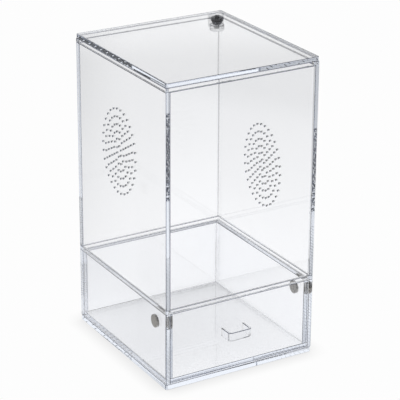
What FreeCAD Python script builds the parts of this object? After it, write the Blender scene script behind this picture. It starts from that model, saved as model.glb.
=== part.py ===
import FreeCAD, Part
import math
import os
import re
import Sketcher

# A tall clear acrylic terrarium: a glued shell of base, hood and two flat rims, a drawer that pulls out of the
# base, and a lid that turns on a stud in one back corner. Millimetres, +Z up, +Y to the back, origin under
# the middle of the base plate.

driving_dimensions = {
    # Outline and sheet stock
    "box_width": 190,
    "box_depth": 205,
    "plate": 6,
    "wall": 4.8,
    "rim": 4.8,
    "lid_sheet": 4.8,
    "base_wall": 85,
    "hood_wall": 248.2,
    "corner_round": 2.4,
    "edge_break": 0.4,
    # Fits: a glue line between fixed sheets, a slip between moving ones, a running fit round the pivot
    "glue": 0.1,
    "slip": 0.3,
    "running": 0.08,
    # Vents: oval rings of drilled holes, above the middle of one hood wall and below the middle of the other
    "vent_hole": 2.2,
    "vent_width": 75,
    "vent_height": 98,
    "vent_rise": 25.3,
    "vent_setback": 3,
    # Drawer and its bent pull
    "drawer_sheet": 4.8,
    "pull_width": 30,
    "pull_depth": 17,
    "pull_height": 10,
    "pull_strip": 3,
    "pull_bend": 4.5,
    "pull_level": 54,
    "pull_shift": 10,
    # Disc magnets in facing pairs, behind the drawer's front and below the seam
    "magnet_diameter": 15,
    "magnet_thickness": 3,
    "magnet_setback": 28,
    "magnet_drop": 18.7,
    # Lid pivot: a stud with a neck, a rim, a groove and a taper, its pin in a round boss
    "pivot_inset": 13.5,
    "stud_neck": 2.3,
    "stud_head": 14.6,
    "stud_rim": 2.2,
    "stud_groove": 0.9,
    "groove_depth": 0.8,
    "stud_taper": 4.9,
    "stud_waist": 9.6,
    "stud_pin": 6,
    "pin_length": 4.5,
    "boss_height": 6.5,
}

# A vent's rings, from the middle outwards: each one's share of the outermost ring and its holes. The rows of
# holes lean by the turn, and a hole's round wall stands as a few flats
vent_ring_shares = (0.13, 0.3, 0.465, 0.635, 0.815, 1)
vent_ring_counts = (6, 12, 18, 24, 30, 30)
vent_turn_degrees = 36
hole_flat_count = 8
full_turn_degrees = 360

document = FreeCAD.newDocument("terrarium")
sheet = document.addObject("Spreadsheet::Sheet", "Dimensions")
for row, (alias, size) in enumerate(driving_dimensions.items(), start=1):
    sheet.set(f"A{row}", alias)
    sheet.set(f"B{row}", str(size))
    sheet.setAlias(f"B{row}", alias)
document.recompute()


def expression(text):
    # Puts the sheet's name before every alias in a sum of aliases
    return re.sub(r"[a-z_]+", lambda word: f"{sheet.Name}.{word.group()}", text)


def value(text):
    return float(sheet.evalExpression(expression(text)))


# Levels and spans that several pieces share, as sums of the aliases above
walls_from = "plate + glue"
seam_from = f"{walls_from} + base_wall + glue"
hood_from = f"{seam_from} + rim + glue"
top_rim_from = f"{hood_from} + hood_wall + glue"
lid_from = f"{top_rim_from} + rim + slip"
between_walls = "(box_width - 2 * wall - 2 * glue)"

side_at = "(box_width - wall) / 2"
back_at = "(box_depth - wall) / 2"
base_wall_at = f"{walls_from} + base_wall / 2"
hood_wall_at = f"{hood_from} + hood_wall / 2"

drawer_from = "plate + slip"
drawer_to = f"{seam_from} - slip"
drawer_width = "(box_width - 2 * wall - 2 * slip)"
drawer_walls_from = f"{drawer_from} + drawer_sheet + glue"
drawer_wall_rise = f"({drawer_to} - ({drawer_walls_from}))"
drawer_back_at = "(box_depth / 2 - wall - slip)"
drawer_inside_from = "(-box_depth / 2 + drawer_sheet + glue)"
drawer_run = f"({drawer_back_at} - {drawer_inside_from})"
drawer_middle = f"({drawer_back_at} + {drawer_inside_from}) / 2"

magnet_at_y = "-box_depth / 2 + magnet_setback"
magnet_at_z = f"{seam_from} - magnet_drop"
stud_from = f"{lid_from} - glue - stud_neck - stud_rim - stud_groove - stud_taper - pin_length"
boss_to = f"{stud_from} + pin_length - slip"


def new_body(label, x, y, z):
    body = document.addObject("PartDesign::Body", label)
    body.Label = label
    for axis, text in (("x", x), ("y", y), ("z", z)):
        body.setExpression(f"Placement.Base.{axis}", expression(text))
    return body


def new_sketch(body, plane_role, right="0", up="0", out="0"):
    # A sketch on one of the body's own planes, moved in that plane and off it
    plane = next(item for item in body.Origin.OriginFeatures if item.Role == plane_role)
    sketch = body.newObject("Sketcher::SketchObject", f"{body.Label}_sketch")
    sketch.AttachmentSupport = [(plane, "")]
    sketch.MapMode = "FlatFace"
    for axis, text in (("x", right), ("y", up), ("z", out)):
        sketch.setExpression(f"AttachmentOffset.Base.{axis}", expression(text))
    return sketch


def bind(sketch, constraint, name, text):
    index = sketch.addConstraint(constraint)
    sketch.renameConstraint(index, name)
    sketch.setExpression(f"Constraints.{name}", expression(text))


def draw_rectangle(sketch, name, across, along):
    # Four lines, centred on the sketch's origin
    half_across = value(across) / 2
    half_along = value(along) / 2
    corners = [
        FreeCAD.Vector(-half_across, -half_along, 0),
        FreeCAD.Vector(half_across, -half_along, 0),
        FreeCAD.Vector(half_across, half_along, 0),
        FreeCAD.Vector(-half_across, half_along, 0),
    ]
    lines = [sketch.addGeometry(Part.LineSegment(corners[i], corners[(i + 1) % 4])) for i in range(4)]
    for i in range(4):
        sketch.addConstraint(Sketcher.Constraint("Coincident", lines[i], 2, lines[(i + 1) % 4], 1))
        sketch.addConstraint(Sketcher.Constraint("Vertical" if i % 2 else "Horizontal", lines[i]))
    sketch.addConstraint(Sketcher.Constraint("Symmetric", lines[0], 1, lines[1], 2, -1, 1))
    across_rule = Sketcher.Constraint("DistanceX", lines[0], 1, lines[0], 2, value(across))
    along_rule = Sketcher.Constraint("DistanceY", lines[1], 1, lines[1], 2, value(along))
    bind(sketch, across_rule, f"{name}_across", across)
    bind(sketch, along_rule, f"{name}_along", along)


def draw_circle(sketch, diameter):
    # A circle round the sketch's origin
    circle = sketch.addGeometry(Part.Circle(FreeCAD.Vector(), FreeCAD.Vector(0, 0, 1), value(diameter) / 2))
    sketch.addConstraint(Sketcher.Constraint("Coincident", circle, 3, -1, 1))
    bind(sketch, Sketcher.Constraint("Diameter", circle, value(diameter)), "diameter", diameter)


def draw_outline(sketch, points):
    # A closed outline through points given as sums, right of and above the sketch's origin
    places = [FreeCAD.Vector(value(right), value(up), 0) for right, up in points]
    count = len(places)
    lines = [sketch.addGeometry(Part.LineSegment(places[i], places[(i + 1) % count])) for i in range(count)]
    for i, (right, up) in enumerate(points):
        sketch.addConstraint(Sketcher.Constraint("Coincident", lines[i - 1], 2, lines[i], 1))
        right_rule = Sketcher.Constraint("DistanceX", -1, 1, lines[i], 1, places[i].x)
        up_rule = Sketcher.Constraint("DistanceY", -1, 1, lines[i], 1, places[i].y)
        bind(sketch, right_rule, f"right_{i}", right)
        bind(sketch, up_rule, f"up_{i}", up)


def pad(body, sketch, length):
    # A pad of the sketch to both sides of its plane
    feature = body.newObject("PartDesign::Pad", f"{body.Label}_pad")
    feature.Profile = sketch
    feature.SideType = "Symmetric"
    feature.setExpression("Length", expression(length))
    sketch.Visibility = False
    document.recompute()
    return feature


def pocket(body, sketch, depth=None, against_normal=True):
    # A blind pocket to a depth, or a cut through all on both sides of the sketch's plane
    before = body.Shape.Volume
    feature = body.newObject("PartDesign::Pocket", f"{body.Label}_pocket")
    feature.Profile = sketch
    if depth is None:
        feature.Type = "ThroughAll"
        feature.SideType = "Symmetric"
    else:
        feature.setExpression("Length", expression(depth))
        feature.Reversed = not against_normal
    document.recompute()
    if not body.Shape.Volume < before:
        raise RuntimeError(f"{body.Label}: a pocket cut nothing")
    return feature


def dress(body, kind, size_name, size, base, names=None):
    # A chamfer or fillet on all edges of the base feature, or on the named edges or faces
    feature = body.newObject(f"PartDesign::{kind}", f"{body.Label}_{kind.lower()}")
    if names:
        feature.Base = (base, names)
    else:
        feature.Base = (base, ["Face1"])
        feature.UseAllEdges = True
    feature.setExpression(size_name, expression(size))
    document.recompute()
    return feature


def upright_edges(shape):
    # Names of the straight edges that run along Z, with each edge's middle
    found = []
    for number, edge in enumerate(shape.Edges, start=1):
        box = edge.BoundBox
        if box.ZLength > max(box.XLength, box.YLength) and len(edge.Vertexes) == 2:
            found.append((f"Edge{number}", edge.CenterOfMass))
    return found


def panel(label, plane_role, across, along, thickness, x, y, z):
    # One sheet with its sharp edges broken, centred on the place given
    body = new_body(label, x, y, z)
    sketch = new_sketch(body, plane_role)
    draw_rectangle(sketch, "sheet", across, along)
    feature = pad(body, sketch, thickness)
    body.Tip = dress(body, "Chamfer", "Size", "edge_break", feature)
    return body


def rounded_plate(label, thickness, z):
    # A flat plate of the whole outline, with rounded corners and broken edges above and below
    body = new_body(label, "0", "0", z)
    sketch = new_sketch(body, "XY_Plane")
    draw_rectangle(sketch, "plate", "box_width", "box_depth")
    feature = pad(body, sketch, thickness)
    corners = [name for name, middle in upright_edges(feature.Shape)]
    rounded = dress(body, "Fillet", "Radius", "corner_round", feature, corners)
    flat_faces = [
        f"Face{number}"
        for number, face in enumerate(rounded.Shape.Faces, start=1)
        if abs(face.normalAt(0, 0).z) > abs(face.normalAt(0, 0).x) + abs(face.normalAt(0, 0).y)
    ]
    body.Tip = dress(body, "Chamfer", "Size", "edge_break", rounded, flat_faces)


def rim_frame(label, z):
    # A flat frame that follows the tops of the walls, with one wide window
    body = new_body(label, "0", "0", z)
    sketch = new_sketch(body, "XY_Plane")
    draw_rectangle(sketch, "outer", "box_width", "box_depth")
    draw_rectangle(sketch, "window", "box_width - 2 * wall", "box_depth - 2 * wall")
    feature = pad(body, sketch, "rim")
    body.Tip = dress(body, "Chamfer", "Size", "edge_break", feature)


def drill_vent(label, panel_body, x, way_up):
    # One drill for each hole, placed on its ring, and all of them cut from the sheet at once. The sheet is the
    # same on both sides, one way up on the left and turned over on the right
    drills = []
    for share, count in zip(vent_ring_shares, vent_ring_counts):
        for hole in range(count):
            angle = math.radians(vent_turn_degrees + full_turn_degrees * hole / count)
            drill = document.addObject("Part::Prism", f"{label}_drill")
            drill.Polygon = hole_flat_count
            drill.Placement.Rotation = FreeCAD.Rotation(FreeCAD.Vector(0, 0, 1), FreeCAD.Vector(1, 0, 0))
            drill.setExpression("Circumradius", expression("vent_hole / 2"))
            drill.setExpression("Height", expression("3 * wall"))
            drill.setExpression("Placement.Base.x", expression(f"{x} - 3 * wall / 2"))
            across = f"{share * math.cos(angle) / 2:.6f} * vent_width"
            along = f"{share * math.sin(angle) / 2:.6f} * vent_height"
            drill.setExpression("Placement.Base.y", expression(f"vent_setback + {across}"))
            drill.setExpression("Placement.Base.z", expression(f"{hood_wall_at} + {way_up} * (vent_rise + {along})"))
            drills.append(drill)
    field = document.addObject("Part::Compound", f"{label}_drills")
    field.Links = drills
    cut = document.addObject("Part::Cut", label)
    cut.Label = label
    cut.Base = panel_body
    cut.Tool = field
    document.recompute()


def sink_magnet(body, right, up, face_at, against_normal):
    # A round seat for one disc magnet, cut from one face of a side wall
    sketch = new_sketch(body, "YZ_Plane", right, up, face_at)
    draw_circle(sketch, "magnet_diameter + 2 * glue")
    body.Tip = pocket(body, sketch, "magnet_thickness + glue", against_normal)


def disc_magnet(label, x):
    body = new_body(label, x, magnet_at_y, magnet_at_z)
    sketch = new_sketch(body, "YZ_Plane")
    draw_circle(sketch, "magnet_diameter")
    body.Tip = pad(body, sketch, "magnet_thickness")


def bent_pull():
    # A strip bent to a U: the block's middle is cut away to the back, then its two bends are rounded
    at_y = "-box_depth / 2 - glue - pull_depth / 2"
    body = new_body("drawer_pull", "-pull_shift", at_y, "pull_level")
    block = new_sketch(body, "XY_Plane")
    draw_rectangle(block, "block", "pull_width", "pull_depth")
    pad(body, block, "pull_height")
    gap = new_sketch(body, "XY_Plane", up="pull_strip")
    draw_rectangle(gap, "gap", "pull_width - 2 * pull_strip", "pull_depth")
    strip = pocket(body, gap)
    half_width = value("pull_width / 2")
    front = [(name, abs(abs(at.x) - half_width)) for name, at in upright_edges(strip.Shape) if at.y < 0]
    half_strip = value("pull_strip / 2")
    outside = [name for name, from_side in front if from_side < half_strip]
    bend = dress(body, "Fillet", "Radius", "pull_bend", strip, outside)
    inner = [
        name
        for name, at in upright_edges(bend.Shape)
        if at.y < 0 and abs(abs(at.x) - half_width + value("pull_strip")) < half_strip
        and abs(at.y + value("pull_depth / 2 - pull_strip")) < half_strip
    ]
    body.Tip = dress(body, "Fillet", "Radius", "pull_bend - pull_strip", bend, inner)


def pivot_stud():
    # The lid's stud, turned in one piece: pin, shoulder, taper, groove, rim and neck, from its lower end upwards
    body = new_body("pivot_stud", "box_width / 2 - pivot_inset", "box_depth / 2 - pivot_inset", stud_from)
    sketch = new_sketch(body, "XZ_Plane")
    taper_to = "pin_length + stud_taper"
    groove_to = f"{taper_to} + stud_groove"
    head_to = f"{groove_to} + stud_rim"
    neck_to = f"{head_to} + stud_neck"
    draw_outline(sketch, [
        ("0", "0"),
        ("stud_pin / 2", "0"),
        ("stud_pin / 2", "pin_length"),
        ("stud_waist / 2", "pin_length"),
        ("stud_head / 2", taper_to),
        ("stud_head / 2 - groove_depth", taper_to),
        ("stud_head / 2 - groove_depth", groove_to),
        ("stud_head / 2", groove_to),
        ("stud_head / 2", head_to),
        ("stud_pin / 2", head_to),
        ("stud_pin / 2", neck_to),
        ("0", neck_to),
    ])
    feature = body.newObject("PartDesign::Revolution", "pivot_stud_turning")
    feature.Profile = sketch
    feature.ReferenceAxis = (sketch, ["V_Axis"])
    feature.Angle = full_turn_degrees
    body.Tip = feature


def pivot_boss():
    # A round boss that touches both walls of its corner, bored from above for the stud's pin
    body = new_body(
        "pivot_boss",
        "box_width / 2 - pivot_inset",
        "box_depth / 2 - pivot_inset",
        f"{boss_to} - boss_height / 2",
    )
    sketch = new_sketch(body, "XY_Plane")
    draw_circle(sketch, "2 * (pivot_inset - wall - glue)")
    pad(body, sketch, "boss_height")
    bore = new_sketch(body, "XY_Plane", out="boss_height / 2")
    draw_circle(bore, "stud_pin + 2 * running")
    body.Tip = pocket(body, bore, "pin_length")


# Base: the plate, two side walls over the whole depth and a back wall between them
rounded_plate("base_plate", "plate", "plate / 2")
base_left = panel("base_wall_left", "YZ_Plane", "box_depth", "base_wall", "wall", f"-{side_at}", "0", base_wall_at)
base_right = panel("base_wall_right", "YZ_Plane", "box_depth", "base_wall", "wall", side_at, "0", base_wall_at)
panel("base_wall_back", "XZ_Plane", between_walls, "base_wall", "wall", "0", back_at, base_wall_at)
rim_frame("seam_rim", f"{seam_from} + rim / 2")

# Hood: drilled side walls over the whole depth, plain walls between them, and the rim that the lid lies on
left_sheet = panel("left_sheet", "YZ_Plane", "box_depth", "hood_wall", "wall", f"-{side_at}", "0", hood_wall_at)
right_sheet = panel("right_sheet", "YZ_Plane", "box_depth", "hood_wall", "wall", side_at, "0", hood_wall_at)
drill_vent("hood_wall_left", left_sheet, f"-{side_at}", "1")
drill_vent("hood_wall_right", right_sheet, side_at, "-1")
panel("hood_wall_front", "XZ_Plane", between_walls, "hood_wall", "wall", "0", f"-{back_at}", hood_wall_at)
panel("hood_wall_back", "XZ_Plane", between_walls, "hood_wall", "wall", "0", back_at, hood_wall_at)
rim_frame("top_rim", f"{top_rim_from} + rim / 2")

# Drawer: a floor behind the front panel, two side walls and a back wall on the floor, and the pull
drawer_side_at = f"({drawer_width} - drawer_sheet) / 2"
drawer_wall_at = f"{drawer_walls_from} + {drawer_wall_rise} / 2"
drawer_front_rise = f"({drawer_to} - ({drawer_from}))"
panel("drawer_floor", "XY_Plane", drawer_width, drawer_run, "drawer_sheet",
      "0", drawer_middle, f"{drawer_from} + drawer_sheet / 2")
panel("drawer_front", "XZ_Plane", drawer_width, drawer_front_rise, "drawer_sheet",
      "0", "(drawer_sheet - box_depth) / 2", f"{drawer_from} + {drawer_front_rise} / 2")
drawer_left = panel("drawer_wall_left", "YZ_Plane", drawer_run, drawer_wall_rise, "drawer_sheet",
                    f"-{drawer_side_at}", drawer_middle, drawer_wall_at)
drawer_right = panel("drawer_wall_right", "YZ_Plane", drawer_run, drawer_wall_rise, "drawer_sheet",
                     drawer_side_at, drawer_middle, drawer_wall_at)
panel("drawer_wall_back", "XZ_Plane", f"{drawer_width} - 2 * drawer_sheet - 2 * glue", drawer_wall_rise,
      "drawer_sheet", "0", f"{drawer_back_at} - drawer_sheet / 2", drawer_wall_at)
bent_pull()

# Magnets: one in the inner face of each base wall, one facing it in the outer face of each drawer wall
base_magnet_up = f"{magnet_at_z} - ({base_wall_at})"
drawer_magnet_up = f"{magnet_at_z} - ({drawer_wall_at})"
drawer_magnet_right = f"{magnet_at_y} - {drawer_middle}"
sink_magnet(base_left, magnet_at_y, base_magnet_up, "wall / 2", True)
sink_magnet(base_right, magnet_at_y, base_magnet_up, "-wall / 2", False)
sink_magnet(drawer_left, drawer_magnet_right, drawer_magnet_up, "-drawer_sheet / 2", False)
sink_magnet(drawer_right, drawer_magnet_right, drawer_magnet_up, "drawer_sheet / 2", True)
shell_magnet_at = "(box_width / 2 - wall + magnet_thickness / 2)"
drawer_magnet_at = "(box_width / 2 - wall - slip - magnet_thickness / 2)"
disc_magnet("shell_magnet_left", f"-{shell_magnet_at}")
disc_magnet("shell_magnet_right", shell_magnet_at)
disc_magnet("drawer_magnet_left", f"-{drawer_magnet_at}")
disc_magnet("drawer_magnet_right", drawer_magnet_at)

# Lid and its corner pivot
rounded_plate("lid_plate", "lid_sheet", f"{lid_from} + lid_sheet / 2")
pivot_stud()
pivot_boss()

document.recompute()
sheets_before_drilling = (left_sheet, right_sheet)
pieces = [
    item
    for item in document.Objects
    if item.TypeId in ("PartDesign::Body", "Part::Cut") and item not in sheets_before_drilling
]
for item in document.Objects:
    if "Invalid" in item.State or "Error" in item.State:
        raise RuntimeError(f"{item.Label} failed: {item.State}")

os.makedirs("parts", exist_ok=True)
for piece in pieces:
    solid = piece.Shape
    if solid.isNull() or not solid.isValid() or len(solid.Solids) != 1:
        raise RuntimeError(f"{piece.Label} has no sound solid")
    solid.exportStep(f"parts/{piece.Label}.step")
    print(f"{piece.Label}: {solid.Volume:.0f} cubic mm")
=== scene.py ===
import math
import bmesh
import bpy
import numpy as np
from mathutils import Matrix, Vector
from mathutils.geometry import delaunay_2d_cdt


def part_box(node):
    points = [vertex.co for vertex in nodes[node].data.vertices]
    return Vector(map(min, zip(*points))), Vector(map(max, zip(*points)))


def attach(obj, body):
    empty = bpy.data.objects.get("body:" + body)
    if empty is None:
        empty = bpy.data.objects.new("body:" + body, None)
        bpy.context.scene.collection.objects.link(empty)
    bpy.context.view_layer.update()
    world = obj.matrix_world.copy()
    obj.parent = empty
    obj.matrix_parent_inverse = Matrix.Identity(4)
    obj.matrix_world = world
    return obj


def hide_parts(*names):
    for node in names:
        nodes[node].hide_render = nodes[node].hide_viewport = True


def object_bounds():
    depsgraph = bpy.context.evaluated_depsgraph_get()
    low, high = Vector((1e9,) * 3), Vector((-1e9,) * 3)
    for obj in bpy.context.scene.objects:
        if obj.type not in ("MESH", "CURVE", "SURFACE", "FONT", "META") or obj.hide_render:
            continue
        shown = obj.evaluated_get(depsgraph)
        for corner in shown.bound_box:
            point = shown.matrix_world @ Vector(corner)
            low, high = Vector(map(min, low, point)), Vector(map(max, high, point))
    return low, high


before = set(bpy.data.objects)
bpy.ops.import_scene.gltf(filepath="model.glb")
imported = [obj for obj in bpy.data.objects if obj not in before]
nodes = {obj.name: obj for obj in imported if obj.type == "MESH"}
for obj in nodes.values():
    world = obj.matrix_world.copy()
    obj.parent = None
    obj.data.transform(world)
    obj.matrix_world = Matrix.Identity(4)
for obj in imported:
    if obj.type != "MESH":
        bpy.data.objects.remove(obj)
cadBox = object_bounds()
scene = bpy.context.scene
millimetre = 0.001


def newNode(tree, kind, inputs=None, **settings):
    # One shader node with its settings, and its inputs given as values or as sockets to link
    node = tree.nodes.new(kind)
    for key, value in settings.items():
        setattr(node, key, value)
    for key, value in (inputs or {}).items():
        if isinstance(value, bpy.types.NodeSocket):
            tree.links.new(value, node.inputs[key])
        else:
            node.inputs[key].default_value = value
    return node


def emptyMaterial(name):
    material = bpy.data.materials.new(name)
    material.use_nodes = True
    material.node_tree.nodes.clear()
    return material, material.node_tree


def fromTo(tree, value, ends, span=(0, 1), course="LINEAR"):
    # The span of a value mapped to two ends
    return newNode(tree, "ShaderNodeMapRange", {
        "Value": value,
        "From Min": span[0],
        "From Max": span[1],
        "To Min": ends[0],
        "To Max": ends[1],
    }, interpolation_type=course).outputs["Result"]


def compared(tree, value, middle, reach):
    # 1 where a value is within reach of a middle
    return newNode(tree, "ShaderNodeMath", {0: value, 1: middle, 2: reach}, operation="COMPARE").outputs[0]


def product(tree, first, second):
    return newNode(tree, "ShaderNodeMath", {0: first, 1: second}, operation="MULTIPLY").outputs[0]


def mixed(tree, share, first, second):
    return newNode(tree, "ShaderNodeMix", {"Factor": share, "A": first, "B": second}).outputs["Result"]


# Camera, fitted to the corners of the box in the photo
cameraFit = {
    "place": (-0.93848, -1.59508, 0.93060),
    "yaw": 0.5168,
    "pitch": 0.3645,
    "focalPixels": 1762.71,
    "framePixels": 400,
    "sensorMillimetres": 36,
    "axisPixels": (-30, -45),
}
cameraData = bpy.data.cameras.new("camera")
cameraData.sensor_width = cameraFit["sensorMillimetres"]
cameraData.lens = cameraData.sensor_width * cameraFit["focalPixels"] / cameraFit["framePixels"]
cameraData.shift_x = -cameraFit["axisPixels"][0] / cameraFit["framePixels"]
cameraData.shift_y = cameraFit["axisPixels"][1] / cameraFit["framePixels"]
camera = bpy.data.objects.new("camera", cameraData)
camera.location = cameraFit["place"]
camera.rotation_euler = (math.pi / 2 - cameraFit["pitch"], 0, -cameraFit["yaw"])
scene.collection.objects.link(camera)
scene.camera = camera
scene.view_settings.view_transform = "Standard"
# Light runs the length of a sheet by reflections inside it, so its edges need long paths
longestPath = 96
scene.cycles.max_bounces = longestPath
scene.cycles.transmission_bounces = longestPath
scene.cycles.glossy_bounces = longestPath
print("camera set")

# Cast acrylic: its faces have a faint casting ripple and a few rough specks, its sawn and flamed edges are wavier
# and less even, and its cut edges and hole walls carry painted shade seen from outside. A sheet's edges are where
# its surface turns away from the direction that it is thin in
acrylicLook = {
    "ior": 1.49,
    "clearTones": ((0.978, 0.982, 0.992, 1), (0.990, 0.992, 0.998, 1)),
    "absorbs": (0.66, 0.78, 0.98, 1),
    "density": 1.6,
    "speckScale": 90,
    "speckDetail": 4,
    "speckBreakup": 0.6,
    "speckSpan": (0.45, 0.8),
    "faceRoughness": (0.0, 0.006),
    "rippleScale": 20,
    "rippleDetail": 1,
    "rippleHeight": 0.000004,
    "edgeSlope": (0.3, 0.9),
    "edgeScale": 300,
    "edgeDetail": 2,
    "edgeSpan": (0.4, 0.75),
    "edgeRoughness": (0.0, 0.008),
    "edgeHeight": 0.0000015,
    # Painted shade: a dark navy tone and lower clearness for cut edges and hole walls seen from outside
    "paintedShadeTone": (0.10, 0.115, 0.19, 1),
    "paintedShadeClear": 0.5,
    "dullRoughness": 0.25,
    "chamferSlope": (0.707, 0.15),
    "drilledSlope": (0.3, 0.6),
    "drilledReach": (0.088, 0.11),
}


def acrylic(name, thinAxis=None, drilledMiddle=None):
    material, tree = emptyMaterial(name)
    place = newNode(tree, "ShaderNodeTexCoord")
    specks = newNode(tree, "ShaderNodeTexNoise", {
        "Vector": place.outputs["Object"],
        "Scale": acrylicLook["speckScale"],
        "Detail": acrylicLook["speckDetail"],
        "Roughness": acrylicLook["speckBreakup"],
    })
    ripple = newNode(tree, "ShaderNodeTexNoise", {
        "Vector": place.outputs["Object"],
        "Scale": acrylicLook["rippleScale"],
        "Detail": acrylicLook["rippleDetail"],
    })
    tone = newNode(tree, "ShaderNodeMix", {
        "Factor": ripple.outputs["Fac"],
        "A": acrylicLook["clearTones"][0],
        "B": acrylicLook["clearTones"][1],
    }, data_type="RGBA")
    roughness = fromTo(tree, specks.outputs["Fac"], acrylicLook["faceRoughness"], acrylicLook["speckSpan"])
    height = fromTo(tree, ripple.outputs["Fac"], (0, acrylicLook["rippleHeight"]))
    if thinAxis is not None:
        facing = newNode(tree, "ShaderNodeVectorMath", {
            0: place.outputs["Normal"],
            1: thinAxis,
        }, operation="DOT_PRODUCT")
        turned = newNode(tree, "ShaderNodeMath", {0: facing.outputs["Value"]}, operation="ABSOLUTE")
        edge = fromTo(tree, turned.outputs[0], (1, 0), acrylicLook["edgeSlope"])
        sawing = newNode(tree, "ShaderNodeTexNoise", {
            "Vector": place.outputs["Object"],
            "Scale": acrylicLook["edgeScale"],
            "Detail": acrylicLook["edgeDetail"],
        })
        edgeRoughness = fromTo(
            tree, sawing.outputs["Fac"], acrylicLook["edgeRoughness"], acrylicLook["edgeSpan"],
        )
        edgeHeight = fromTo(tree, sawing.outputs["Fac"], (0, acrylicLook["edgeHeight"]))
        roughness = mixed(tree, edge, roughness, edgeRoughness)
        height = mixed(tree, edge, height, edgeHeight)
    bump = newNode(tree, "ShaderNodeBump", {"Height": height, "Distance": 1})
    shader = newNode(tree, "ShaderNodeBsdfPrincipled", {
        "Base Color": tone.outputs["Result"],
        "Roughness": roughness,
        "IOR": acrylicLook["ior"],
        "Transmission Weight": 1,
        "Normal": bump.outputs[0],
    })
    if thinAxis is not None:
        # Scraped edges and drilled hole walls are rougher, and seen from outside they carry painted shade:
        # a dark navy tone and lower clearness that stand in for dark edge lines and dark holes
        dullAndPaintedShade = compared(tree, turned.outputs[0], *acrylicLook["chamferSlope"])
        if drilledMiddle is not None:
            parts = newNode(tree, "ShaderNodeSeparateXYZ", {0: place.outputs["Object"]})
            drilled = fromTo(tree, turned.outputs[0], (1, 0), acrylicLook["drilledSlope"])
            for direction, middle, reach in zip("YZ", drilledMiddle, acrylicLook["drilledReach"]):
                drilled = product(tree, drilled, compared(tree, parts.outputs[direction], middle, reach))
            dullAndPaintedShade = newNode(tree, "ShaderNodeMath", {0: dullAndPaintedShade, 1: drilled}, operation="MAXIMUM").outputs[0]
        side = newNode(tree, "ShaderNodeNewGeometry")
        dullAndPaintedShade = product(tree, dullAndPaintedShade, fromTo(tree, side.outputs["Backfacing"], (1, 0)))
        paintedShadeTone = newNode(tree, "ShaderNodeMix", {
            "Factor": dullAndPaintedShade,
            "A": tone.outputs["Result"],
            "B": acrylicLook["paintedShadeTone"],
        }, data_type="RGBA")
        tree.links.new(paintedShadeTone.outputs["Result"], shader.inputs["Base Color"])
        tree.links.new(mixed(tree, dullAndPaintedShade, roughness, acrylicLook["dullRoughness"]), shader.inputs["Roughness"])
        tree.links.new(fromTo(tree, dullAndPaintedShade, (1, acrylicLook["paintedShadeClear"])), shader.inputs["Transmission Weight"])
    haze = newNode(tree, "ShaderNodeVolumeAbsorption", {
        "Color": acrylicLook["absorbs"],
        "Density": acrylicLook["density"],
    })
    newNode(tree, "ShaderNodeOutputMaterial", {"Surface": shader.outputs[0], "Volume": haze.outputs[0]})
    return material


# Metals: nickel plate with fine straight brushing, and a dark turned stud with fine rings
nickelLook = {
    "tones": ((0.30, 0.285, 0.265, 1), (0.50, 0.48, 0.45, 1)),
    "stretch": (400, 2600, 160),
    "roughness": (0.18, 0.34),
    "height": 0.000006,
}
studLook = {
    "tones": ((0.08, 0.08, 0.088, 1), (0.22, 0.222, 0.235, 1)),
    "stretch": (60, 60, 5000),
    "roughness": (0.04, 0.10),
    "height": 0.000003,
}
brushLook = {"detail": 3, "span": (0.3, 0.7)}


def brushedMetal(name, look):
    material, tree = emptyMaterial(name)
    place = newNode(tree, "ShaderNodeTexCoord")
    stretched = newNode(tree, "ShaderNodeMapping", {
        "Vector": place.outputs["Object"],
        "Scale": look["stretch"],
    })
    brushing = newNode(tree, "ShaderNodeTexNoise", {
        "Vector": stretched.outputs[0],
        "Scale": 1,
        "Detail": brushLook["detail"],
    })
    tone = newNode(tree, "ShaderNodeMix", {
        "Factor": fromTo(tree, brushing.outputs["Fac"], (0, 1), brushLook["span"]),
        "A": look["tones"][0],
        "B": look["tones"][1],
    }, data_type="RGBA")
    bump = newNode(tree, "ShaderNodeBump", {
        "Height": fromTo(tree, brushing.outputs["Fac"], (0, look["height"])),
        "Distance": 1,
    })
    shader = newNode(tree, "ShaderNodeBsdfPrincipled", {
        "Base Color": tone.outputs["Result"],
        "Roughness": fromTo(tree, brushing.outputs["Fac"], look["roughness"], brushLook["span"]),
        "Metallic": 1,
        "Normal": bump.outputs[0],
    })
    newNode(tree, "ShaderNodeOutputMaterial", {"Surface": shader.outputs[0]})
    return material


thinAcrylic = [
    acrylic("acrylic_thin_x", (1, 0, 0)),
    acrylic("acrylic_thin_y", (0, 1, 0)),
    acrylic("acrylic_thin_z", (0, 0, 1)),
]
ventLow, ventHigh = np.array(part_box("hood_wall_left"))
drilledAcrylic = acrylic("acrylic_drilled", (1, 0, 0), ((ventLow + ventHigh) / 2)[1:].tolist())
fittingAcrylic = acrylic("acrylic_fitting", (0, 0, 1))
nickel = brushedMetal("brushed_nickel", nickelLook)
studMetal = brushedMetal("turned_stud", studLook)


def thinDirection(node):
    low, high = np.array(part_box(node))
    return int(np.argmin(high - low))


# The flat sheets and frames keep their CAD shapes, and the other nodes are replaced below
for name, item in nodes.items():
    for slot in item.material_slots:
        slot.material = thinAcrylic[thinDirection(name)]
print("sheets finished")

surface = {"mergeWithin": 0.001 * millimetre, "creaseDegrees": 30}


def addPiece(name, points, faces, material, node, body):
    # Puts a surface in place of a CAD node: its doubles merged, its rounds smooth and its creases sharp
    mesh = bpy.data.meshes.new(name)
    mesh.from_pydata(points.tolist(), [], faces)
    shape = bmesh.new()
    shape.from_mesh(mesh)
    bmesh.ops.remove_doubles(shape, verts=shape.verts, dist=surface["mergeWithin"])
    bmesh.ops.recalc_face_normals(shape, faces=shape.faces)
    shape.to_mesh(mesh)
    shape.free()
    mesh.shade_smooth()
    mesh.set_sharp_from_angle(angle=math.radians(surface["creaseDegrees"]))
    mesh.materials.append(material)
    piece = bpy.data.objects.new(name, mesh)
    scene.collection.objects.link(piece)
    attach(piece, body)
    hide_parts(node)


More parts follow.
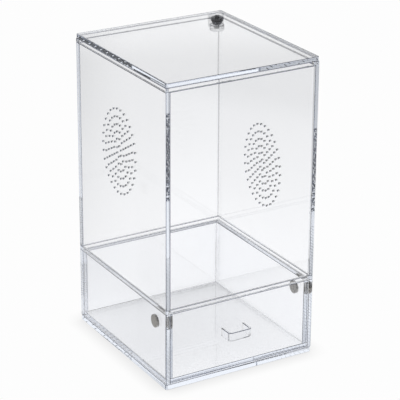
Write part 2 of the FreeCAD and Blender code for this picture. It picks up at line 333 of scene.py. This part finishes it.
def ringPairs(start, count):
    # Neighbours round a closed loop of points: each one and the next
    here = start + np.arange(count)
    return np.stack([here, start + (np.arange(count) + 1) % count], axis=-1)


def quadBand(lower, upper):
    # Quads between two rows of neighbour pairs
    return np.concatenate([lower, upper[:, ::-1]], axis=1).tolist()


# The side walls: a sheet that is thin along X, its outline cut at 45 degrees along every edge, with round holes
sideWall = {
    "edgeBreak": 0.4 * millimetre,
    "holeRadius": 1.1 * millimetre,
    "holeRim": 0.2 * millimetre,
    "holeSides": 16,
    "meetWithin": 0.0001 * millimetre,
}
vent = {
    "ringShares": (0.13, 0.3, 0.465, 0.635, 0.815, 1),
    "ringCounts": (6, 12, 18, 24, 30, 30),
    "turnDegrees": 36,
    "width": 75 * millimetre,
    "height": 98 * millimetre,
    "rise": 25.3 * millimetre,
    "setback": 3 * millimetre,
}


def ventCentres(middle, wayUp):
    # Holes on oval rings: share * (width / 2 * cos, height / 2 * sin) of turn + hole / count of a full turn
    counts = np.array(vent["ringCounts"])
    share = np.repeat(vent["ringShares"], counts)
    hole = np.concatenate([np.arange(count) for count in counts])
    angle = math.radians(vent["turnDegrees"]) + math.tau * hole / np.repeat(counts, counts)
    across = middle[0] + vent["setback"] + share * np.cos(angle) * vent["width"] / 2
    along = middle[1] + wayUp * (vent["rise"] + share * np.sin(angle) * vent["height"] / 2)
    return np.stack([across, along], axis=-1)


def sheetSurface(low, high, centres):
    # Both faces are the outline less its cut edges with the holes left out, joined by bands: face, cut, side, cut
    # round the outline, and face, rim, wall, rim round each hole. A hole's ring is centre + radius * (cos, sin)
    cut, rim, sides = sideWall["edgeBreak"], sideWall["holeRim"], sideWall["holeSides"]
    (left, bottom), (right, top) = low[1:], high[1:]
    outline = np.array([
        (left + cut, bottom), (right - cut, bottom), (right, bottom + cut), (right, top - cut),
        (right - cut, top), (left + cut, top), (left, top - cut), (left, bottom + cut),
    ])
    inside = np.clip(outline, (left + cut, bottom + cut), (right - cut, top - cut))
    turn = np.arange(sides) / sides * math.tau
    ring = np.stack([np.cos(turn), np.sin(turn)], axis=-1)
    wide = (centres[:, None] + ring * (sideWall["holeRadius"] + rim)).reshape(-1, 2)
    narrow = (centres[:, None] + ring * sideWall["holeRadius"]).reshape(-1, 2)
    face = inside[::2]
    flat = np.concatenate([face, wide])
    owner = np.concatenate([np.full(len(face), -1), np.repeat(np.arange(len(centres)), sides)])
    loops = [ringPairs(0, len(face))]
    loops += [ringPairs(len(face) + sides * hole, sides) for hole in range(len(centres))]
    edges = np.concatenate(loops).tolist()
    triangles = np.array(delaunay_2d_cdt(flat.tolist(), edges, [], 0, sideWall["meetWithin"])[2])
    owners = owner[triangles]
    inHole = (owners[:, 0] >= 0) & (owners[:, 0] == owners[:, 1]) & (owners[:, 0] == owners[:, 2])
    triangles = triangles[~inHole]
    layers = []
    for level, inset in ((low[0], 1), (high[0], -1)):
        for pointsFlat, depth in ((flat, 0), (inside, 0), (outline, cut), (narrow, rim)):
            layers.append(np.column_stack([np.full(len(pointsFlat), level + inset * depth), pointsFlat]))
    starts = np.concatenate([[0], np.cumsum([len(layer) for layer in layers])])
    faces = []
    for side in (0, 4):
        faces += (triangles + starts[side]).tolist()
        faces += quadBand(ringPairs(starts[side + 1], len(inside)), ringPairs(starts[side + 2], len(outline)))
        for hole in range(len(centres)):
            faces += quadBand(
                ringPairs(starts[side] + len(face) + sides * hole, sides),
                ringPairs(starts[side + 3] + sides * hole, sides),
            )
    faces += quadBand(ringPairs(starts[2], len(outline)), ringPairs(starts[6], len(outline)))
    for hole in range(len(centres)):
        faces += quadBand(
            ringPairs(starts[3] + sides * hole, sides),
            ringPairs(starts[7] + sides * hole, sides),
        )
    return np.concatenate(layers), faces


noHoles = np.zeros((0, 2))
for node, body, slot, wayUp in (
    ("hood_wall_left", "shell", "acrylic_wall", 1),
    ("hood_wall_right", "shell", "acrylic_wall", -1),
    ("base_wall_left", "shell", "acrylic_wall", 0),
    ("base_wall_right", "shell", "acrylic_wall", 0),
    ("drawer_wall_left", "drawer", "acrylic_drawer", 0),
    ("drawer_wall_right", "drawer", "acrylic_drawer", 0),
):
    low, high = np.array(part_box(node))
    centres = ventCentres((low + high)[1:] / 2, wayUp) if wayUp else noHoles
    points, faces = sheetSurface(low, high, centres)
    addPiece(f"{node}_sheet", points, faces, drilledAcrylic if wayUp else thinAcrylic[0], node, body)
print("side walls drilled")


def brokenCorners(profile, cut):
    # Every inner corner of a profile replaced by two points, each the cut away from it along one of its lines
    profile = np.array(profile)
    corner, before, after = profile[1:-1], profile[:-2], profile[2:]
    back = before - corner
    ahead = after - corner
    back *= cut / np.linalg.norm(back, axis=1, keepdims=True)
    ahead *= cut / np.linalg.norm(ahead, axis=1, keepdims=True)
    pairs = np.stack([corner + back, corner + ahead], axis=1).reshape(-1, 2)
    return np.concatenate([profile[:1], pairs, profile[-1:]])


def turnedSurface(profile, middle, axis, sides=72):
    # A profile of radius and level carried round an axis: middle + level * axis + radius * (cos, sin) across it
    turn = np.arange(sides) / sides * math.tau
    radius, level = profile[:, :1], profile[:, 1:]
    across = [(axis + 1) % 3, (axis + 2) % 3]
    points = np.zeros((len(profile), sides, 3))
    points[..., axis] = level
    points[..., across[0]] = radius * np.cos(turn)
    points[..., across[1]] = radius * np.sin(turn)
    faces = []
    for row in range(len(profile) - 1):
        faces += quadBand(ringPairs(row * sides, sides), ringPairs((row + 1) * sides, sides))
    return points.reshape(-1, 3) + middle, faces


# Disc magnets inside the walls: plated discs with a softened rim
magnet = {"rimCut": 0.35 * millimetre}
for node, body in (
    ("shell_magnet_left", "shell"),
    ("shell_magnet_right", "shell"),
    ("drawer_magnet_left", "drawer"),
    ("drawer_magnet_right", "drawer"),
):
    low, high = np.array(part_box(node))
    half = (high - low) / 2
    profile = brokenCorners([(0, -half[0]), (half[1], -half[0]), (half[1], half[0]), (0, half[0])], magnet["rimCut"])
    points, faces = turnedSurface(profile, (low + high) / 2, 0)
    addPiece(f"{node}_disc", points, faces, nickel, node, body)

# The lid's stud from its pin upwards, with its corners broken as a lathe leaves them
stud = {
    "pinRadius": 3 * millimetre,
    "pinLength": 4.5 * millimetre,
    "waistRadius": 4.8 * millimetre,
    "taper": 4.9 * millimetre,
    "groove": 0.9 * millimetre,
    "grooveDepth": 0.8 * millimetre,
    "rim": 2.2 * millimetre,
    "cornerCut": 0.15 * millimetre,
}
low, high = np.array(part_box("pivot_stud"))
headRadius = (high[0] - low[0]) / 2
taperTo = stud["pinLength"] + stud["taper"]
grooveTo = taperTo + stud["groove"]
rimTo = grooveTo + stud["rim"]
profile = brokenCorners([
    (0, 0),
    (stud["pinRadius"], 0),
    (stud["pinRadius"], stud["pinLength"]),
    (stud["waistRadius"], stud["pinLength"]),
    (headRadius, taperTo),
    (headRadius - stud["grooveDepth"], taperTo),
    (headRadius - stud["grooveDepth"], grooveTo),
    (headRadius, grooveTo),
    (headRadius, rimTo),
    (stud["pinRadius"], rimTo),
    (stud["pinRadius"], high[2] - low[2]),
    (0, high[2] - low[2]),
], stud["cornerCut"])
points, faces = turnedSurface(profile, ((low[0] + high[0]) / 2, (low[1] + high[1]) / 2, low[2]), 2)
addPiece("pivot_stud_turned", points, faces, studMetal, "pivot_stud", "lid")

# Its boss: a clear disc with a blind bore from above
boss = {
    "boreRadius": 3.08 * millimetre,
    "boreDepth": 4.5 * millimetre,
    "cornerCut": 0.4 * millimetre,
}
low, high = np.array(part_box("pivot_boss"))
radius, rise = (high[0] - low[0]) / 2, high[2] - low[2]
profile = brokenCorners([
    (0, 0),
    (radius, 0),
    (radius, rise),
    (boss["boreRadius"], rise),
    (boss["boreRadius"], rise - boss["boreDepth"]),
    (0, rise - boss["boreDepth"]),
], boss["cornerCut"])
points, faces = turnedSurface(profile, ((low[0] + high[0]) / 2, (low[1] + high[1]) / 2, low[2]), 2)
addPiece("pivot_boss_clear", points, faces, fittingAcrylic, "pivot_boss", "shell")
print("magnets and pivot turned")

# The drawer's pull: a strip bent hot to a U, its edges broken
pull = {
    "strip": 3 * millimetre,
    "bend": 4.5 * millimetre,
    "edgeBreak": 0.6 * millimetre,
    "bendSteps": 14,
}


def pullSurface(low, high):
    # A cut-cornered section carried along the strip's middle line: out of the panel, round two bends and back.
    # Across the strip it goes along the line's normal, and up along Z
    half = pull["strip"] / 2
    radius = pull["bend"] - half
    left, right, front, back = low[0] + half, high[0] - half, low[1] + half, high[1]
    turn = np.linspace(0, math.pi / 2, pull["bendSteps"])
    firstBend = np.stack([left + radius - radius * np.cos(turn), front + radius - radius * np.sin(turn)], axis=-1)
    lastBend = np.stack([right - radius + radius * np.sin(turn), front + radius - radius * np.cos(turn)], axis=-1)
    line = np.concatenate([[(left, back)], firstBend, lastBend, [(right, back)]])
    angle = np.concatenate([[0], turn, math.pi / 2 + turn, [math.pi]])
    normal = np.stack([-np.cos(angle), -np.sin(angle)], axis=-1)
    cut = pull["edgeBreak"]
    wide, tall = half, (high[2] - low[2]) / 2
    section = np.array([
        (wide, tall - cut), (wide - cut, tall), (cut - wide, tall), (-wide, tall - cut),
        (-wide, cut - tall), (cut - wide, -tall), (wide - cut, -tall), (wide, cut - tall),
    ])
    points = np.zeros((len(line), len(section), 3))
    points[..., :2] = line[:, None] + normal[:, None] * section[None, :, :1]
    points[..., 2] = (low[2] + high[2]) / 2 + section[:, 1]
    count = len(section)
    faces = [list(range(count)), list(range((len(line) - 1) * count, len(line) * count))[::-1]]
    for row in range(len(line) - 1):
        faces += quadBand(ringPairs(row * count, count), ringPairs((row + 1) * count, count))
    return points.reshape(-1, 3), faces


points, faces = pullSurface(*np.array(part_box("drawer_pull")))
addPiece("drawer_pull_bent", points, faces, fittingAcrylic, "drawer_pull", "drawer")
print("pull bent")

# Stage: white paper under the box, brightest behind it, a curved wall of paper that fades upwards, soft lights
# overhead and in front, and a dark room. The camera itself sees white, with a faint shade round the foot
stageLook = {
    "paper": 0.983,
    "room": 0.02,
    "sheetCorners": ((-1.6, -1.6), (2.0, 2.2)),
    "sheetTone": (0.8, 0.8, 0.8, 1),
    "floorLevel": -0.4 * millimetre,
    "footLevel": -0.2 * millimetre,
    "frontGlow": (0.68, 0.02),
    "frontSpan": (0.78, 0.94),
    "poolRise": (-0.2, 0.05),
    "poolGlow": (1.02, 0.93),
    "poolSpan": (0.3, 0.9),
    "farGlow": 1.12,
    "farRise": (1.02, 1.25),
    "poolSide": (-0.32, -0.08),
    "poolSideGlow": 0.62,
    "footGlow": (1.13, 0.72),
    "shadeReach": 0.022,
    "shadeDepth": 0.30,
    "sweepRadius": 1.45,
    "sweepDegrees": (-115, 55),
    "sweepHeight": 1.1,
    "sweepFoot": 0.05,
    "sweepSteps": 49,
    "sweepGlow": ((0, 1), (0.68, 1), (0.78, 0.66), (0.93, 0.58), (1.02, 0.08)),
    "flag": ((0.025, 0.465), (0.047, 0.484)),
    "flagDistance": 0.5,
    "flagGlow": 0.03,
    "overhead": {"place": (0.1, 0.2, 1.5), "side": 0.9, "glow": 1.2},
    "frontBox": {"place": (0.75, -1.32, 0.95), "side": 0.8, "glow": 1.0},
}
ahead = (math.sin(cameraFit["yaw"]), math.cos(cameraFit["yaw"]))


def stageSheet(name, points, material, faces=((0, 1, 2, 3),)):
    mesh = bpy.data.meshes.new(name)
    mesh.from_pydata(points, [], faces)
    mesh.materials.append(material)
    item = bpy.data.objects.new(name, mesh)
    scene.collection.objects.link(item)
    return item


def seenDirectly(tree):
    # 1 where the camera, glass or polished metal looks at the stage
    path = newNode(tree, "ShaderNodeLightPath")
    through = newNode(tree, "ShaderNodeMath", {
        0: path.outputs["Is Glossy Ray"],
        1: path.outputs["Is Transmission Ray"],
    }, operation="MAXIMUM")
    anyOf = newNode(tree, "ShaderNodeMath", {
        0: through.outputs[0],
        1: path.outputs["Is Camera Ray"],
    }, operation="MAXIMUM")
    return path.outputs["Is Camera Ray"], anyOf.outputs[0]


def paperMaterial(name, measure):
    # White paper whose brightness in glass and metal is worked out by the measure, from the place on it
    material, tree = emptyMaterial(name)
    toCamera, direct = seenDirectly(tree)
    place = newNode(tree, "ShaderNodeTexCoord")
    glow = measure(tree, place.outputs["Object"])
    near = newNode(tree, "ShaderNodeAmbientOcclusion", {"Distance": stageLook["shadeReach"]})
    white = fromTo(tree, near.outputs["AO"], (stageLook["paper"] - stageLook["shadeDepth"], stageLook["paper"]))
    seen = newNode(tree, "ShaderNodeEmission", {"Strength": mixed(tree, toCamera, glow, white)})
    matt = newNode(tree, "ShaderNodeBsdfDiffuse", {"Color": stageLook["sheetTone"]})
    shown = newNode(tree, "ShaderNodeMixShader", {0: direct, 1: matt.outputs[0], 2: seen.outputs[0]})
    newNode(tree, "ShaderNodeOutputMaterial", {"Surface": shown.outputs[0]})
    return material


def poolMeasure(tree, place):
    # Dimmer in front and to the left, brightest far behind
    behind = newNode(tree, "ShaderNodeVectorMath", {0: place, 1: (ahead[0], ahead[1], 0)}, operation="DOT_PRODUCT")
    right = newNode(tree, "ShaderNodeVectorMath", {0: place, 1: (ahead[1], -ahead[0], 0)}, operation="DOT_PRODUCT")
    lit = fromTo(tree, behind.outputs["Value"], (0, 1), stageLook["poolRise"], "SMOOTHSTEP")
    near = fromTo(tree, behind.outputs["Value"], stageLook["poolGlow"], stageLook["poolSpan"], "SMOOTHSTEP")
    far = fromTo(tree, behind.outputs["Value"], (0, 1), stageLook["farRise"], "SMOOTHSTEP")
    level = mixed(tree, far, near, stageLook["farGlow"])
    side = fromTo(tree, right.outputs["Value"], (stageLook["poolSideGlow"], 1), stageLook["poolSide"], "SMOOTHSTEP")
    pool = product(tree, level, side)
    front = fromTo(tree, right.outputs["Value"], stageLook["frontGlow"], stageLook["frontSpan"], "SMOOTHSTEP")
    return mixed(tree, lit, front, pool)


def footMeasure(tree, place):
    # Painted shade under the box: this paper glows brighter at the front and dimmer at the back, where the box
    # shades it
    parts = newNode(tree, "ShaderNodeSeparateXYZ", {0: place})
    return fromTo(tree, parts.outputs["Y"], stageLook["footGlow"], (cadBox[0][1], cadBox[1][1]))


def sweepMeasure(tree, place):
    # Bright low down and dimmer upwards
    parts = newNode(tree, "ShaderNodeSeparateXYZ", {0: place})
    share = fromTo(tree, parts.outputs["Z"], (0, 1), (0, stageLook["sweepHeight"]))
    ramp = newNode(tree, "ShaderNodeValToRGB", {"Fac": share})
    ramp.color_ramp.interpolation = "EASE"
    stops = ramp.color_ramp.elements
    stops.remove(stops[1])
    for order, (level, glow) in enumerate(stageLook["sweepGlow"]):
        position = level / stageLook["sweepHeight"]
        stop = stops.new(position) if order else stops[0]
        stop.position = position
        stop.color = (glow, glow, glow, 1)
    return ramp.outputs["Color"]


def levelSheet(name, low, high, level, material):
    stageSheet(name, [
        (low[0], low[1], level),
        (high[0], low[1], level),
        (high[0], high[1], level),
        (low[0], high[1], level),
    ], material)


floorPaper = paperMaterial("floor_paper", poolMeasure)
levelSheet("floor", *stageLook["sheetCorners"], stageLook["floorLevel"], floorPaper)
plateLow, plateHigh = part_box("base_plate")
levelSheet("foot", plateLow, plateHigh, stageLook["footLevel"], paperMaterial("foot_paper", footMeasure))
# The paper behind stands on an arc round the box: radius * (sin, cos) of the turn from straight behind
turn = cameraFit["yaw"] + np.radians(np.linspace(*stageLook["sweepDegrees"], stageLook["sweepSteps"]))
arc = stageLook["sweepRadius"] * np.stack([np.sin(turn), np.cos(turn), np.zeros(len(turn))], axis=-1)
points = np.concatenate([arc + (0, 0, stageLook["sweepFoot"]), arc + (0, 0, stageLook["sweepHeight"])])
row = np.arange(len(turn) - 1)
faces = np.stack([row, row + 1, row + 1 + len(turn), row + len(turn)], axis=-1)
sweep = stageSheet("paper_sweep", points.tolist(), paperMaterial("sweep_paper", sweepMeasure), faces.tolist())
sweep.visible_camera = False
# A small dark card above and behind the lid keeps the stud dark under the lid's reflection
flagCard, tree = emptyMaterial("flag_card")
card = newNode(tree, "ShaderNodeEmission", {"Strength": stageLook["flagGlow"]})
newNode(tree, "ShaderNodeOutputMaterial", {"Surface": card.outputs[0]})
(flagLeft, flagBottom), (flagRight, flagTop) = stageLook["flag"]
corners = np.array([(flagLeft, flagBottom), (flagRight, flagBottom), (flagRight, flagTop), (flagLeft, flagTop)])
points = np.zeros((4, 3))
points[:, 0] = ahead[0] * stageLook["flagDistance"] + ahead[1] * corners[:, 0]
points[:, 1] = ahead[1] * stageLook["flagDistance"] - ahead[0] * corners[:, 0]
points[:, 2] = corners[:, 1]
stageSheet("flag", points.tolist(), flagCard).visible_camera = False
for name in ("overhead", "frontBox"):
    # A square soft light turned to the middle of the box; its glow is what shows of it in glass
    look = stageLook[name]
    lampData = bpy.data.lights.new(name, "AREA")
    lampData.size = look["side"]
    lampData.energy = look["glow"] * math.pi * look["side"] ** 2
    lamp = bpy.data.objects.new(name, lampData)
    lamp.location = look["place"]
    middle = Vector(cadBox[0]).lerp(Vector(cadBox[1]), 0.5)
    lamp.rotation_euler = (middle - lamp.location).to_track_quat("-Z", "Y").to_euler()
    lamp.visible_camera = False
    scene.collection.objects.link(lamp)

world = bpy.data.worlds.new("studio")
world.use_nodes = True
scene.world = world
tree = world.node_tree
tree.nodes.clear()
path = newNode(tree, "ShaderNodeLightPath")
white = (1, 1, 1, 1)
room = newNode(tree, "ShaderNodeBackground", {"Color": white, "Strength": stageLook["room"]})
paper = newNode(tree, "ShaderNodeBackground", {"Color": white, "Strength": stageLook["paper"]})
shown = newNode(tree, "ShaderNodeMixShader", {
    0: path.outputs["Is Camera Ray"],
    1: room.outputs[0],
    2: paper.outputs[0],
})
newNode(tree, "ShaderNodeOutputWorld", {"Surface": shown.outputs[0]})
print("stage set")
